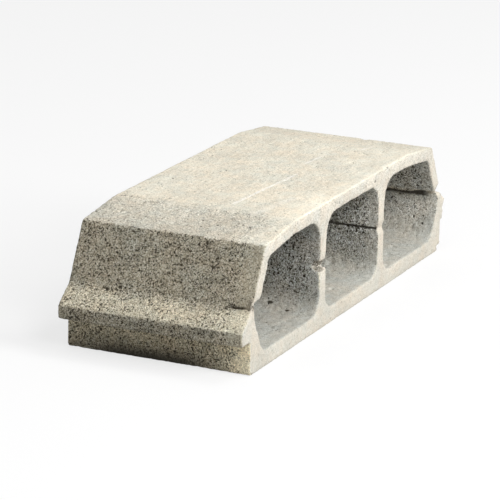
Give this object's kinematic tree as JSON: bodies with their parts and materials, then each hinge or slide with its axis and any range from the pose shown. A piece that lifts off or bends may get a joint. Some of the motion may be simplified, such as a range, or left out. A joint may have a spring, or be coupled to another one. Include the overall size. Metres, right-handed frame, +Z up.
{
  "type": "hollow concrete floor infill block",
  "caption": "Hollow pressed-concrete infill block that spans between floor beams on the nibs at its ends, with a flat soffit, a gently ramped crown and open cells along the beams.",
  "frame": {"origin": "centre of the bounding box's bottom face, in the plane of the soffit", "axes": "+X along the block from nib to nib, +Y along the cells from the pressed front face to the back face, +Z up from the soffit to the crown"},
  "size_m": [0.53, 0.2, 0.131],
  "materials": {
    "concrete": "matte"
  },
  "bodies": {
    "root": {"hollow_floor_block": "concrete"}
  },
  "joints": []
}
